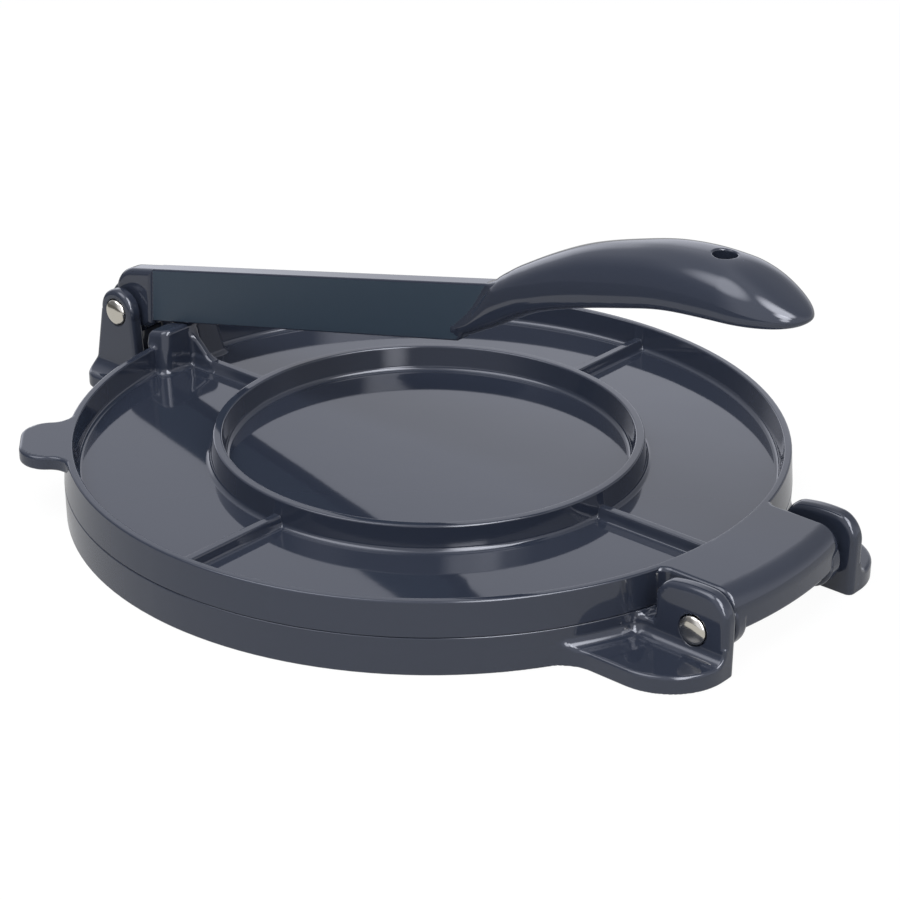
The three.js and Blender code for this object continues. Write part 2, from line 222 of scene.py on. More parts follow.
def edge_faces(axis, hit, leaving, number):
    """A face round each crossed edge, from its four cells' numbers, turned to look outwards."""
    p, q = (axis + 1) % 3, (axis + 2) % 3
    i = np.argwhere(hit)
    i = i[(i[:, p] > 0) & (i[:, q] > 0) & (i[:, p] < number.shape[p]) & (i[:, q] < number.shape[q])]
    ring = []
    for dp, dq in ((1, 1), (0, 1), (0, 0), (1, 0)):
        j = i.copy()
        j[:, p] -= dp
        j[:, q] -= dq
        ring.append(number[tuple(j.T)])
    quad = np.stack(ring, axis=1)
    return np.where(leaving[tuple(i.T)][:, None], quad, quad[:, ::-1])


def surface_net(field, xs, ys, zs):
    """The corners, at the mean of each cell's crossings, and the faces of the zero surface."""
    grid = np.stack(np.meshgrid(xs, ys, zs, indexing="ij"), axis=-1)
    values = field(grid[..., 0], grid[..., 1], grid[..., 2])
    cells = tuple(n - 1 for n in values.shape)
    total = np.zeros(cells + (4,))
    edges = []
    for axis, hit, leaving, place in crossed_edges(values, grid):
        counted = np.concatenate([place, np.ones(hit.shape + (1,))], axis=-1)
        total += corner_sum(counted * hit[..., None], axis)
        edges.append((axis, hit, leaving))
    active = total[..., 3] > 0
    number = -np.ones(cells, dtype=np.int64)
    number[active] = np.arange(active.sum())
    points = total[active][:, :3] / total[active][:, 3:]
    return points, np.concatenate([edge_faces(*edge, number) for edge in edges])


steps = np.arange(-1.3, 1.31, 0.2)
net, net_faces = surface_net(lambda x, y, z: np.sqrt(x * x + y * y + z * z) - 1, steps, steps, steps)
print("A ball of radius 1 as a net:", len(net), "corners and", len(net_faces), "faces")

# %% [markdown]
# The net's corners lie near the surface, but not on it. A smooth modifier could even out the
# waves, but it also shrinks the edges. Newton's step moves each corner along the slope on to
# the surface itself, in a few sweeps.

# %% Skin of a field
NEWTON_SWEEPS = 5
LONGEST_STEP = 0.6


def skin(field, xs, ys, zs):
    """The zero surface of a field as (corners, list of face arrays, normals). A corner moves by
    -f g / (g . g), with g the slope of f, and by no more than a share of the grid's step."""
    points, faces = surface_net(field, xs, ys, zs)
    limit = LONGEST_STEP * min(np.diff(xs).min(), np.diff(ys).min(), np.diff(zs).min())
    for _ in range(NEWTON_SWEEPS):
        g = slope(field, points)
        step = -(field(*points.T) / np.maximum((g * g).sum(axis=1), 1e-6))[:, None] * g
        length = np.linalg.norm(step, axis=1, keepdims=True)
        points = points + step * np.minimum(1, limit / np.maximum(length, 1e-9))
    return points, [faces], unit(slope(field, points))


ball, _, _ = skin(lambda x, y, z: np.sqrt(x * x + y * y + z * z) - 1, steps, steps, steps)
spread = np.abs(np.linalg.norm(ball, axis=1) - 1).max()
print("The ball's corners lie within", f"{spread:.1e}", "of its radius")

# %% [markdown]
# The plates are round, so a profile carried round an axis makes them, as Blender's Spin would.
# A profile is drawn with sharp corners, which are real sizes, and each then becomes an arc.


# %% Rounded profiles
def rounded(points, radii, pieces=5):
    """A polyline with each inner corner replaced by an arc of its radius."""
    points = [np.array(p, float) for p in points]
    line = [points[0]]
    for before, corner, after, radius in zip(points, points[1:], points[2:], radii):
        a = (before - corner) / np.linalg.norm(before - corner)
        b = (after - corner) / np.linalg.norm(after - corner)
        half = math.acos(np.clip(a @ b, -1, 1)) / 2
        start = radius / math.tan(half)
        centre = corner + (a + b) / np.linalg.norm(a + b) * radius / math.sin(half)
        first, last = corner + a * start - centre, corner + b * start - centre
        for share in np.linspace(0, 1, pieces + 1):
            spread = math.pi - 2 * half
            weight_a = math.sin((1 - share) * spread) / math.sin(spread)
            weight_b = math.sin(share * spread) / math.sin(spread)
            line.append(centre + weight_a * first + weight_b * last)
    line.append(points[-1])
    return np.array(line)


print("A square corner with a round:", len(rounded([[0, 0], [5, 0], [5, 5]], [1.0])), "points")

# %% [markdown]
# Straight ribs run out from each plate's middle in four directions, and Spin's even columns
# would cut their edges into steps. So near a rib the columns keep a constant distance from its
# centre line, and its edges fall exactly on columns.

# %% Columns of a round plate
RIB_ZONE = 6.0
# Distances from a rib's centre line, closer together at the rib's rounded edges
RIB_COLUMNS = np.array([
    0, 0.5, 0.8, 0.95, 1.1, 1.25, 1.4, 1.6, 1.8, 2.0, 2.2, 2.4, 2.6, 2.8, 3.0, 3.3, 3.7, 4.3, 5.1])
BETWEEN_COLUMNS = 34
follow_from = ring_radius - 4


def plate_columns(radius):
    """Angles of the columns at each radius: asin(t / r) near a rib, even steps between ribs.
    Nearer the axis than follow_from the angles stay the same, since t / r would pass 1."""
    sides = np.concatenate([-RIB_COLUMNS[:0:-1], RIB_COLUMNS])
    offsets = np.concatenate([sides, np.full(BETWEEN_COLUMNS, RIB_ZONE)])
    between = np.arange(BETWEEN_COLUMNS) / BETWEEN_COLUMNS
    shares = np.concatenate([np.zeros(len(sides)), between])
    reach = np.maximum(np.asarray(radius, float), follow_from)[:, None]
    edge = np.arcsin(RIB_ZONE / reach)
    quarter = np.arcsin(offsets / reach) + shares * (math.pi / 2 - 2 * edge)
    return np.concatenate([quarter + k * math.pi / 2 for k in range(4)], axis=1)


print("Columns round a plate:", plate_columns([rim_radius]).shape[1])

# %% [markdown]
# Rows and columns make a tube with two open ends. One large face could fill an end, but it
# draws badly when it isn't quite flat. A fan of triangles round a corner on the axis closes
# each end, so that the mesh is watertight.


# %% Closed round shells
def shell_faces(n_rows, n):
    """Quads between rows of n corners, and a fan at each end round the two corners after them."""
    j = np.arange(n)
    k = (j + 1) % n
    i = np.arange(n_rows - 1)[:, None] * n
    quads = np.stack([i + j, i + n + j, i + n + k, i + k], axis=-1).reshape(-1, 4)
    first, last, end = n_rows * n, n_rows * n + 1, (n_rows - 1) * n
    fans = np.concatenate([
        np.stack([np.full(n, first), j, k], axis=1),
        np.stack([np.full(n, last), end + k, end + j], axis=1),
    ])
    return [quads, fans]


def mean_normals(points, face_sets):
    """Normals of the corners: the sum of the cross products of their faces' diagonals or sides."""
    normals = np.zeros_like(points)
    for faces in face_sets:
        a, b, c = (points[faces[:, k]] for k in (0, 1, 2))
        d = points[faces[:, -1]]
        cross = np.cross(c - a, d - b) if faces.shape[1] == 4 else np.cross(b - a, c - a)
        for k in range(faces.shape[1]):
            np.add.at(normals, faces[:, k], cross)
    return unit(normals)


def round_plate(profile, height):
    """A round plate from its profile, a loop of (r, z) rows that starts and ends on the axis.
    height(r, z, x, y) may lift or lower a row where a rib crosses it."""
    rows = profile[1:-1]
    angle = plate_columns(rows[:, 0])
    r = np.repeat(rows[:, :1], angle.shape[1], axis=1)
    x, y = r * np.cos(angle), r * np.sin(angle)
    z = height(r, np.repeat(rows[:, 1:], angle.shape[1], axis=1), x, y)
    ends = [[0, 0, profile[0][1]], [0, 0, profile[-1][1]]]
    points = np.concatenate([np.stack([x, y, z], axis=-1).reshape(-1, 3), ends])
    faces = shell_faces(*r.shape)
    return points, faces, mean_normals(points, faces)


print("A shell of 3 rows and 8 columns:", [len(faces) for faces in shell_faces(3, 8)], "faces")

# %% [markdown]
# A skin is only arrays so far. from_pydata could make a mesh of them by way of lists, which is
# slow. foreach_set copies whole arrays, and the exact normals are set as custom ones, so that
# reflections run smoothly over the faces.


# %% From surfaces to one mesh
def put(name, surfaces):
    """One mesh object from surfaces, each (corners in mm, list of face arrays, normals)."""
    corners, normals, sizes, loops = [], [], [], []
    base = 0
    for points, face_sets, normal in surfaces:
        corners.append(points)
        normals.append(normal)
        for faces in face_sets:
            sizes.append(np.full(len(faces), faces.shape[1]))
            loops.append((faces + base).ravel())
        base += len(points)
    corners, normals = np.concatenate(corners) * MM, np.concatenate(normals)
    sizes, loops = np.concatenate(sizes), np.concatenate(loops)
    mesh = bpy.data.meshes.new(name)
    mesh.vertices.add(len(corners))
    mesh.vertices.foreach_set("co", corners.astype(np.float32).ravel())
    mesh.loops.add(len(loops))
    mesh.loops.foreach_set("vertex_index", loops.astype(np.int32))
    mesh.polygons.add(len(sizes))
    starts = np.concatenate([[0], np.cumsum(sizes)[:-1]])
    mesh.polygons.foreach_set("loop_start", starts.astype(np.int32))
    mesh.polygons.foreach_set("use_smooth", np.ones(len(sizes), dtype=bool))
    mesh.update(calc_edges=True)
    mesh.validate()
    mesh.normals_split_custom_set_from_vertices(normals.tolist())
    piece = bpy.data.objects.new(name, mesh)
    bpy.context.collection.objects.link(piece)
    print(name, "has", len(mesh.vertices), "corners and", len(mesh.polygons), "faces")
    return piece


print("A metre in the mesh is", round(1 / MM), "of the units used here")

# %% [markdown]
# The base is a shallow cup turned over: a flat web, a round wall, and underneath two crossing
# ribs that reach the table. A boolean could hollow out a cylinder, but its edges stay sharp.
# One rounded profile gives the whole cup, and the ribs are its own rows pulled down.

# %% Base plate
base_web = 3.3
base_wall = 3.2
base_draft = 0.1
under_rib_half = 1.7
under_rib_draft = 0.7
base_under = base_height - base_web
base_inner = seam_radius - base_wall
base_edge = 0.3
table_edge = 0.5
base_fillet = 1.6
KEPT_HEIGHT = 0.02
# The rows that ribs may move are chosen with a little room, so that rounding drops none
HEIGHT_ROOM = 0.01
RADIUS_ROOM = 0.5
top_rows = [[r, base_height] for r in (30.0, 60.0, 90.0)]
wall_rows = rounded(
    [[98, base_height], [seam_radius, base_height], [seam_radius - base_draft, 0], [base_inner, 0],
     [base_inner, base_under], [90, base_under]],
    [base_edge, table_edge, table_edge, base_fillet])
under_rows = [[r, base_under] for r in (80.0, 65.0, 50.0, 30.0, 15.0, 6.0, 3.0)]
base_profile = np.concatenate([
    [[0, base_height]], top_rows, wall_rows, under_rows, [[0, KEPT_HEIGHT * base_under]]])


def with_lower_ribs(r, z, x, y):
    """Lowers the web's underside to the table along two crossing ribs.
    A fiftieth of each height is kept, so that no two rows fall together."""
    across = np.minimum(np.abs(x), np.abs(y))
    rib = np.clip((across - under_rib_half) / under_rib_draft, 0, 1)
    under = (z < base_under + HEIGHT_ROOM) & (r < base_inner + RADIUS_ROOM)
    return np.where(under, np.minimum(z, np.maximum(base_under * rib, KEPT_HEIGHT * z)), z)


cup = round_plate(base_profile, with_lower_ribs)
print("The base's cup:", len(base_profile), "rows and", len(cup[0]), "corners")

# %% [markdown]
# Both pins are headed over in shallow round seats. A boolean could drill seat and bore, but a
# cut in a field also rounds the lip. An arm's skin starts a hair behind the wall that it joins
# and is closed inside that wall, out of sight.

# %% Seats of the pins
HIDDEN = 0.03
SHELL = 2.4
bore_radius = 3.2
head_radius = 4.0
head_recess = 0.8
head_gap = 0.2
seat_edge = 0.3


def recessed(solid, x, z, across, face):
    """Cuts the seat of a pin's head into an outer face, and the bore behind it."""
    bore = np.hypot(x, z)
    recess = np.maximum(bore - head_radius - head_gap, face - head_recess - across)
    return np.maximum(common(solid, -recess, seat_edge), bore_radius - bore)


def mirrored(surface):
    """The same surface on the other side of the plane y = 0, its faces turned back outwards."""
    points, faces, normals = surface
    flip = np.array([1, -1, 1])
    return points * flip, [f[:, ::-1] for f in faces], normals * flip


print("A pin's seat is", 2 * (head_radius + head_gap), "mm wide and", head_recess, "mm deep")

# %% [markdown]
# On the hinge side two feet stand on the table, and each rises into an upright ear that holds
# an end of the pin. A foot could be an extruded outline, but it flows into the wall with
# fillets of several sizes. So it is a field of planes and rounds. The far foot mirrors it.

# %% Hinge feet
foot_x, foot_y, foot_height = 123.9, 49.0, 5.0
foot_corner, foot_edge, foot_blend = 17.5, 1.0, 3.2
# The fillet in plan between foot and wall is larger on the outer side, past wide_from
wide_blend, narrow_blend, wide_from = 5.0, 2.5, 38
link_top, link_edge, link_blend = 9.4, 1.0, 1.5
ear_inner, ear_outer, ear_edge = 26.6, 31.5, 1.9
ear_left, ear_left_round = 101.7, 4.5
ear_top, crown_x, crown_spread, crown_round = 22.8, 114.5, 75, 6.5
# Where the skin is closed inside the wall
left_end, outer_end, inner_end = 78.0, 67.0, 23.4


def hinge_foot_field(x, y, z):
    """A foot on the table that rises into an ear, with fillets to the round wall.
    The ear's crown is a parabola: its top less (x - crown_x)^2 / crown_spread."""
    r = np.hypot(x, y)
    across = -y
    wall = r - seam_radius + HIDDEN
    lid = z - base_height + HIDDEN
    plan = common(x - foot_x, across - foot_y, foot_corner)
    plan = common(plan, ear_inner - across, ear_edge)
    plan = joined(plan, wall, np.where(across > wide_from, wide_blend, narrow_blend))
    link = common(across - ear_outer, z - link_top, link_edge)
    upright = joined(np.maximum(wall, lid), link, narrow_blend)
    top = np.maximum(joined(z - foot_height, upright, foot_blend), lid)
    foot = common(common(plan, top, foot_edge), -z, table_edge)
    crown = z - ear_top + (x - crown_x) ** 2 / crown_spread
    outline = common(x - foot_x, crown, crown_round)
    outline = common(outline, joined(ear_left - x, z - link_top, link_blend), ear_left_round)
    ear = common(common(outline, slab(across, ear_inner, ear_outer), ear_edge), -z, table_edge)
    solid = recessed(np.minimum(foot, ear), x - hinge_x, z - hinge_z, across, ear_outer)
    return cut(solid, seam_radius - SHELL - r, left_end - x, across - outer_end, inner_end - across)


# A grid along an axis: from, to, coarse step, fine step, and the places that need fine steps
seat_lips = (hinge_x - head_radius - 0.3, hinge_x + head_radius + 0.3)
near_foot = skin(
    hinge_foot_field,
    grid_steps(76.5, foot_x + 1, 0.9, 0.35, (ear_left, foot_x - 1, *seat_lips)),
    grid_steps(-68.5, -ear_inner + 4.2, 0.9, 0.35, (-ear_inner - 0.8, -ear_outer + 0.5, -foot_y + 1)),
    grid_steps(-0.7, ear_top + 1, 0.9, 0.35, (0, foot_height, foot_height + 3, base_height, ear_top)),
)
print("Each hinge foot:", len(near_foot[0]), "corners")

# %% [markdown]
# The lever's pin sits in a bracket on the other side: two ears that taper upwards, with a slot
# for the lever's tongue, on a pad with round corners. It could be a bevelled box, but its
# fillets run into the round wall too, so it is a field as well.

# %% Bracket of the lever
bracket_slot, bracket_half, bracket_edge = 3.9, 8.5, 1.6
bracket_round = 7.0
outer_lean, inner_lean = math.radians(10.5), math.radians(5.2)
pad_reach, pad_half, pad_corner = 11.6, 14.5, 7.0
pad_height, pad_blend, pad_edge = 4.6, 4.0, 1.2
block_top, block_blend = 11.0, 2.0
slot_floor = 5.0
bracket_end = 19.0


def tapered_outline(along, above):
    """A round top about the pin, with straight sides on its tangents that spread downwards."""
    circle = np.hypot(along, above) - bracket_round
    sides = []
    for lean, sign in ((outer_lean, -1), (inner_lean, 1)):
        straight = sign * along * math.cos(lean) + above * math.sin(lean) - bracket_round
        beyond = -sign * along * math.sin(lean) + above * math.cos(lean) > 0
        sides.append(np.where(beyond, circle, straight))
    return np.maximum(*sides)


def bracket_field(x, y, z):
    """The pad and the two tapered ears that carry the lever's pin."""
    r = np.hypot(x, y)
    side = np.abs(y)
    wall = r - seam_radius + HIDDEN
    lid = z - base_height + HIDDEN
    outline = tapered_outline(x - pivot_x, z - pivot_z)
    ears = common(outline, slab(side, bracket_slot, bracket_half), bracket_edge)
    ears = common(ears, -z, table_edge)
    plan = common(pivot_x - pad_reach - x, side - pad_half, pad_corner)
    plan = joined(plan, wall, pad_blend)
    block = np.maximum(common(outline, side - bracket_half, bracket_edge), z - block_top)
    upright = joined(np.maximum(wall, lid), block, block_blend)
    top = np.maximum(joined(z - pad_height, upright, pad_blend), z - block_top)
    pad = common(common(plan, top, pad_edge), -z, table_edge)
    slot = cut(side - bracket_slot, slot_floor - z, seam_radius - r)
    pad = np.maximum(pad, -slot)
    solid = recessed(np.minimum(pad, ears), x - pivot_x, z - pivot_z, side, bracket_half)
    return cut(solid, seam_radius - SHELL - r, side - bracket_end)


bracket = skin(
    bracket_field,
    grid_steps(pivot_x - 13, -96.5, 0.45, 0.45, ()),
    grid_steps(-20, 20.01, 0.7, 0.3, (-8.0, -4.4, 4.4, 8.0)),
    grid_steps(-0.7, pivot_z + 8, 0.45, 0.4, (0,)),
)
base_casting = put("base_casting", [cup, near_foot, mirrored(near_foot), bracket])

# %% [markdown]
# The upper plate is a dish with a rim, a ring inside it, and four low ribs from ring to rim.
# Each could be laid on a disc as a part of its own, but a casting has fillets where they meet.
# So ring, floor and rim are one profile, and the ribs lift its rows.

# %% Dish of the upper plate
inner_draft = 0.8
floor_fillet = 1.6
rim_inner = rim_radius - 2.1
rim_edge, outer_edge, seam_edge = 0.5, 0.55, 0.3
ring_top, ring_edge = rim_top - 0.2, 0.6
ring_out, ring_in = ring_radius + 1.3, ring_radius - 1.3
dish_rows = rounded(
    [[52, floor_height], [ring_in - inner_draft, floor_height], [ring_in, ring_top],
     [ring_out, ring_top], [ring_out + inner_draft, floor_height],
     [rim_inner - inner_draft, floor_height], [rim_inner, rim_top],
     [rim_radius, rim_top], [seam_radius, plate_bottom], [95, plate_bottom]],
    [floor_fillet, ring_edge, ring_edge, floor_fillet, floor_fillet, rim_edge, outer_edge, seam_edge])
centre_rows = [[r, floor_height] for r in (20.0, 40.0)]
lower_rows = [[r, plate_bottom] for r in (80.0, 60.0, 30.0)]
dish_profile = np.concatenate([
    [[0, floor_height]], centre_rows, dish_rows, lower_rows, [[0, plate_bottom]]])

rib_rise, rib_crown, rib_foot = 3.2, 1.2, 2.1
rib_edge, rib_fillet = 0.45, 1.1
rib_outline = rounded(
    [[0, rib_rise], [rib_crown, rib_rise], [rib_foot, 0], [RIB_ZONE, 0]], [rib_edge, rib_fillet])


def with_ribs(r, z, x, y):
    """Raises the floor between ring and rim to the ribs' outline, where that is higher."""
    across = np.minimum(np.abs(x), np.abs(y))
    rib = floor_height + np.interp(across, rib_outline[:, 0], rib_outline[:, 1])
    upper = (z > plate_bottom + HEIGHT_ROOM) & (r > ring_radius) & (r < rim_inner + RADIUS_ROOM)
    return np.where(upper, np.maximum(z, rib), z)


dish = round_plate(dish_profile, with_ribs)
print("The dish:", len(dish_profile), "rows and", len(dish[0]), "corners")

# %% [markdown]
# A hood runs out from the rim over the hinge pin: a curved roof with a rolled front, open
# below, with a lug at each end that turns on the pin. Solidify could give a bent sheet its
# thickness, but not its lugs. As a field it is a rounded block less a rounded cavity.

# %% Hood over the hinge
FLUSH = 0.01
RIM_SHELL = 1.5
hood_radius = rim_radius + 21.8
hood_half, hood_wall, hood_lip = 23.8, 3.0, 9.3
hood_roll, hood_blend, hood_edge, lip_edge = 6.0, 2.4, 1.3, 1.0
cavity_edge, cavity_root, mouth_edge = 1.0, 1.5, 0.6
lug_inner, lug_radius, lug_edge = 19.2, 8.2, 1.0
hood_end = 26.8


def rim_wall_field(x, y, z):
    """The drafted outer wall of the upper plate, a hair inside the visible one."""
    draft = rim_draft * (rim_top - z) / (rim_top - plate_bottom)
    return np.hypot(x, y) - rim_radius - draft + HIDDEN


def hood_field(x, y, z):
    """A curved roof with a rolled front, hung on the plate's rim, and a lug at each end."""
    r = np.hypot(x, y)
    side = np.abs(y)
    wall = rim_wall_field(x, y, z)
    plan = joined(side - hood_half, wall, hood_blend)
    roof = common(r - hood_radius, z - rim_top - FLUSH, hood_roll)
    block = common(common(plan, roof, hood_edge), hood_lip - z, lip_edge)
    ceiling = common(r - hood_radius + hood_wall, z - rim_top + hood_wall, hood_roll - hood_wall)
    cavity = common(common(side - lug_inner, ceiling, cavity_edge), -wall, cavity_root)
    shell = common(block, -cavity, mouth_edge)
    bore = np.hypot(x - hinge_x, z - hinge_z)
    lug = common(bore - lug_radius, slab(side, lug_inner, hood_half), lug_edge)
    solid = np.maximum(np.minimum(shell, lug), bore_radius - bore)
    return cut(solid, rim_radius - RIM_SHELL - r, side - hood_end)


hood = skin(
    hood_field,
    grid_steps(94, hood_radius + 1, 0.8, 0.4, (97, 99, 101, 105.6, 120.3, 123), 2.0),
    grid_steps(-28, 28.01, 1.2, 0.35, (-26, -23.2, -19.2, 19.2, 23.2, 26), 1.8),
    grid_steps(2, rim_top + 1, 0.7, 0.35, (3, 10, 17.6, 20.0)),
)
print("The hood:", len(hood[0]), "corners")

# %% [markdown]
# The thumb tab is a flat tongue, level with the rim, that lifts the plate. It could be drawn
# where it lies, at an angle between two ribs, but it is simpler along its own u axis and turned
# into place afterwards.

# %% Thumb tab
TAB_ANGLE = math.radians(226)
tab_half, tab_reach, tab_thickness = 11.75, 12.6, 4.1
tab_corner, tab_blend, tab_edge = 8.0, 5.0, 0.9
tab_end = 18.2


def tab_field(u, w, z):
    """A flat tab flush with the rim, with rounded corners and fillets at its root."""
    r = np.hypot(u, w)
    plan = common(u - rim_radius - tab_reach, np.abs(w) - tab_half, tab_corner)
    plan = joined(plan, r - rim_radius + HIDDEN, tab_blend)
    solid = common(plan, slab(z, rim_top - tab_thickness, rim_top + FLUSH), tab_edge)
    return cut(solid, rim_radius - RIM_SHELL - r, np.abs(w) - tab_end)


def turned_about_z(surface, angle):
    """The surface turned about the plates' axis."""
    c, s = math.cos(angle), math.sin(angle)
    turn = np.array([[c, s, 0], [-s, c, 0], [0, 0, 1]])
    points, faces, normals = surface
    return points @ turn, faces, normals @ turn


tab = skin(
    tab_field,
    grid_steps(96, rim_radius + tab_reach + 1, 0.9, 0.45, (98, 101, 113)),
    grid_steps(-20, 20.01, 0.9, 0.45, (-12, 12)),
    grid_steps(rim_top - tab_thickness - 0.65, rim_top + 0.7, 0.3, 0.3, ()),
)
tab = turned_about_z(tab, TAB_ANGLE)
print("The thumb tab:", len(tab[0]), "corners")

# %% [markdown]
# The lever presses on a boss on the rim: a drafted block whose top slopes as the lever lies and
# whose outer face leans out over the rim, with a thin gusset down to the rib. It could be a
# separate block, but then its fillets would be missing. So its field holds rim, floor and rib
# once more, a little under the dish's own, and joins all of them.

# %% Sizes of the boss
TILT = math.radians(12.8)
boss_top, boss_slope = 25.0, math.tan(TILT)
boss_depth, boss_half = 6.3, 11.4
# Drafts are millimetres outwards for each millimetre down
side_draft, face_draft = 0.18, 0.14
boss_corner, boss_edge, boss_fillet = 3.0, 1.6, 1.6
# The outer face stands behind the rim's wall below lean_from, then leans out over the rim
boss_setback, boss_overhang = 1.4, 2.2
lean_from, lean_rate, lean_edge = 15.0, 0.62, 0.9
# The gusset's top edge falls towards the plate's middle through this point
gusset_x, gusset_z, gusset_fall = -94.6, 23.0, 0.91
gusset_half, gusset_end, gusset_round, gusset_edge = 1.3, -86.0, 1.0, 1.1
gusset_under, gusset_root = 1.8, 2.0
rib_top = floor_height + rib_rise
rib_draft = 0.28
rim_cover = 0.4
tray_depth, tray_end, tray_half = 1.5, -84.0, 17.0
# The value of a sloping plane rises faster than the distance from it, which these factors mend
TOP_SCALE, LEAN_SCALE, GUSSET_SCALE, RIB_SCALE = 0.975, 0.9, 0.74, 0.96
print("The boss's top rises by", round(boss_slope * boss_depth, 2), "mm over its depth")


# %% Boss and gusset
def block_fields(x, side, z, wall):
    """The block under the lever, and the plane of its top."""
    below = boss_top - z
    flank = side - boss_half - side_draft * below
    block = common(flank, x + rim_radius - boss_depth - face_draft * below, boss_corner)
    top = (z - boss_top - boss_slope * (x + rim_radius)) * TOP_SCALE
    block = common(block, top, boss_edge)
    lean = np.clip((z - lean_from) * lean_rate, 0, boss_setback + boss_overhang)
    return common(block, (wall + boss_setback - lean) * LEAN_SCALE, lean_edge), top


def gusset_field(x, side, z, top):
    """A thin upright web on the inner side, kept below the block's top and off its outer face."""
    edge = GUSSET_SCALE * (z - gusset_z + gusset_fall * (x - gusset_x))
    gusset = common(side - gusset_half, common(edge, x - gusset_end, gusset_round), gusset_edge)
    return cut(gusset, top + gusset_under, gusset_root - rim_radius - x)


def tray_field(x, y, z, wall):
    """The rim, the floor and the rib round the boss, a little under the dish's own."""
    rim = common(rim_inner + rim_cover - np.hypot(x, y), z - rim_top + HIDDEN, rim_edge)
    flank = (np.abs(y) - rib_crown - (rib_top - z) * rib_draft) * RIB_SCALE
    rib = common(flank, z - rib_top + HIDDEN, rib_edge)
    tray = joined(rim, z - floor_height + HIDDEN, floor_fillet)
    return common(joined(tray, rib, rib_fillet), wall, rim_edge)


def boss_field(x, y, z):
    """Block, gusset and tray, joined with fillets and closed under the floor."""
    side = np.abs(y)
    wall = rim_wall_field(x, y, z)
    block, top = block_fields(x, side, z, wall)
    solid = joined(block, gusset_field(x, side, z, top), boss_fillet)
    solid = joined(solid, tray_field(x, y, z, wall), boss_fillet)
    return cut(solid, floor_height - tray_depth - z, x - tray_end, side - tray_half)


boss = skin(
    boss_field,
    grid_steps(-rim_radius - boss_overhang - 1, -83, 0.5, 0.35, (-103.5, -101.5, -95)),
    grid_steps(-18, 18.01, 0.6, 0.35, (-1.5, 1.5, -12, 12)),
    grid_steps(floor_height - 2.2, boss_top + 2.2, 0.5, 0.35, (20.6, boss_top, boss_top + 1)),
)
top_casting = put("top_casting", [dish, hood, tab, boss])

# %% [markdown]
# The lever is drawn along its own line: u runs from the pivot along the bar, v square to it.
# Its grip could be a subdivided box pulled into shape by hand, but then nothing states its
# sizes. Here it is a row of rounded ovals strung on a curved line, and each station along it
# has a few plain shares of the grip's full size.

# %% Grip
grip_start, grip_length, grip_half, grip_cap = 134.0, 115.2, 12.4, 19.0
grip_arch, grip_rise, grip_drop, grip_power = 13.5, 12.2, 6.5, 2.3
# Along the grip, as shares of its length, arch, rise, drop and half width
grip_stations = np.array([
    [0.0, -0.10, 0.08, 0.36, 0.195],
    [0.05, 0.02, 0.21, 0.42, 0.305],
    [0.10, 0.145, 0.50, 0.43, 0.39],
    [0.14, 0.24, 0.765, 0.43, 0.45],
    [0.20, 0.41, 0.865, 0.43, 0.54],
    [0.27, 0.585, 0.90, 0.43, 0.65],
    [0.34, 0.70, 0.965, 0.44, 0.735],
    [0.41, 0.78, 1.03, 0.45, 0.81],
    [0.56, 0.87, 1.07, 0.46, 0.93],
    [0.68, 0.90, 1.04, 0.49, 0.99],
    [0.80, 0.78, 0.98, 0.52, 1.0],
    [0.90, 0.63, 0.81, 0.55, 0.98],
    [1.0, 0.46, 0.44, 0.62, 0.94],
])


def smooth_curve(places, values, at):
    """A cubic through the values whose slope at each place is that of its two neighbours."""
    slopes = np.gradient(values, places)
    i = np.clip(np.searchsorted(places, at, side="right") - 1, 0, len(places) - 2)
    width = places[i + 1] - places[i]
    t = np.clip((at - places[i]) / width, 0, 1)
    a = (1 + 2 * t) * (1 - t) ** 2 * values[i] + t * t * (3 - 2 * t) * values[i + 1]
    return a + t * (1 - t) ** 2 * width * slopes[i] - t * t * (1 - t) * width * slopes[i + 1]


def grip_field(u, y, v):
    """Rounded ovals: ((|y|/w)^p + (|v-c|/h)^p)^(1/p), closed by a round cap at the end."""
    share = (u - grip_start) / grip_length
    arch, rise, drop, width = (
        smooth_curve(grip_stations[:, 0], grip_stations[:, k], share) for k in (1, 2, 3, 4))
    w = width * grip_half
    lift = v - arch * grip_arch
    h = np.where(lift > 0, rise * grip_rise, drop * grip_drop)
    oval = (np.abs(y / w) ** grip_power + np.abs(lift / h) ** grip_power) ** (1 / grip_power)
    into = np.maximum(u - grip_start - grip_length + grip_cap, 0) / grip_cap
    return np.maximum((np.hypot(oval, into) - 1) * np.minimum(w, h), grip_start - u)


print("The grip is", 2 * grip_half, "mm wide and ends", grip_start + grip_length, "mm from the pin")

# %% [markdown]
# A thicker tongue turns on the pin between the bracket's ears, and a flat bar runs from it into
# the grip, which has a hole for a hook. Tongue and bar could be extruded outlines, but they
# need rounded edges and a soft seam with the grip, so all three are one field.

# %% Tongue and bar
bar_under, bar_top, bar_half, bar_edge = -4.2, 12.5, 2.75, 0.6
tongue_half, tongue_edge = 3.5, 2.0
hub_radius = 8.4
nose_u, nose_v, nose_radius = 4.7, 3.0, 9.5
# The step from tongue to bar leans, and the bar starts inside the tongue
step_u, step_lean, step_edge, bar_lap, lap_edge = 10.0, 0.29, 0.3, 1.0, 0.5
STEP_SCALE, SLANT_SCALE = 0.96, 0.71
# The fillet between bar and grip grows from the underside upwards
seam_low, seam_growth, seam_high = 0.4, 0.1, 1.2
hole_u, hole_v, hole_radius, hole_edge = 224.8, 13.4, 3.1, 0.6


